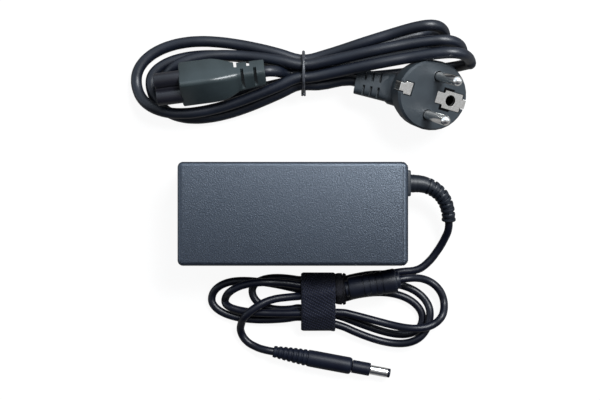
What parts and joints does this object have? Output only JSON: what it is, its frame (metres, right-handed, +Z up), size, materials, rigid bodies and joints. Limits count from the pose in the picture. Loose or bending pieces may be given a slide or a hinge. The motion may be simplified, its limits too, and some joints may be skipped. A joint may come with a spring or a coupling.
{
  "type": "laptop power adapter",
  "caption": "Slim brick power adapter with a grained case, an output lead folded under a strap with a ferrite and barrel plug, and a tied mains lead with a round earthed plug.",
  "frame": {"origin": "centre of the adapter case's bottom face, on the surface it lies on", "axes": "+X along the case from the mains inlet to the output lead, +Y towards the mains lead, +Z up"},
  "size_m": [0.1676, 0.1726, 0.0403],
  "materials": {
    "case": "fine spark-eroded grain, slate grey",
    "moulding": "satin black moulding",
    "cord": "smooth satin black jacket",
    "weave": "black woven nylon",
    "chrome": "bright nickel",
    "brass": "bright brass",
    "board": "paper laminate",
    "film": "white",
    "ferrite": "dark ferrite ceramic",
    "winding": "taped copper winding",
    "capacitor": "sleeved can",
    "heatsink": "satin",
    "package": "moulded package",
    "film_capacitor": "yellow case",
    "wire": "covered wire"
  },
  "bodies": {
    "adapter": {"bottom_cover": "case", "top_cover": "case", "inlet_housing": "moulding", "inlet_pin_line": "brass", "inlet_pin_neutral": "brass", "inlet_pin_earth": "brass", "circuit_board": "board", "insulation_sheet": "film", "mains_fuse": "film", "suppression_capacitor": "film_capacitor", "suppression_choke": "winding", "bulk_capacitor": "capacitor", "primary_heatsink": "heatsink", "bridge_rectifier": "package", "switching_transistor": "package", "transformer_core": "ferrite", "transformer_winding": "winding", "secondary_heatsink": "heatsink", "output_rectifier": "package", "output_capacitor_1": "capacitor", "output_capacitor_2": "capacitor", "output_choke": "winding", "optocoupler": "package", "output_strain_relief": "moulding", "dc_cord_lead": "cord", "dc_cord_hank": "cord", "dc_cord_tail": "cord", "ferrite_cover": "moulding", "ferrite_core": "ferrite", "cord_strap": "weave", "strap_anchor_loop": "weave", "dc_plug_grip": "moulding", "dc_plug_collar": "moulding", "dc_plug_barrel": "chrome", "dc_plug_tip_insulator": "moulding", "dc_plug_centre_pin": "brass"},
    "mains_lead": {"mains_cord_hank": "cord", "mains_connector_nose": "moulding", "mains_connector_body": "moulding", "connector_contact_line": "brass", "connector_contact_neutral": "brass", "connector_contact_earth": "brass", "mains_cord_connector_end": "cord", "twist_tie": "wire", "mains_plug_body": "moulding", "mains_plug_pin_line": "chrome", "mains_plug_pin_neutral": "chrome", "earth_socket": "chrome", "earth_clip_left": "chrome", "earth_clip_right": "chrome", "mains_cord_plug_end": "cord"}
  },
  "joints": [
    {"name": "mains_lead_lift", "type": "slide", "parent": "adapter", "child": "mains_lead", "axis": [0, 0, 1], "range_m": [0, 0.06]}
  ]
}
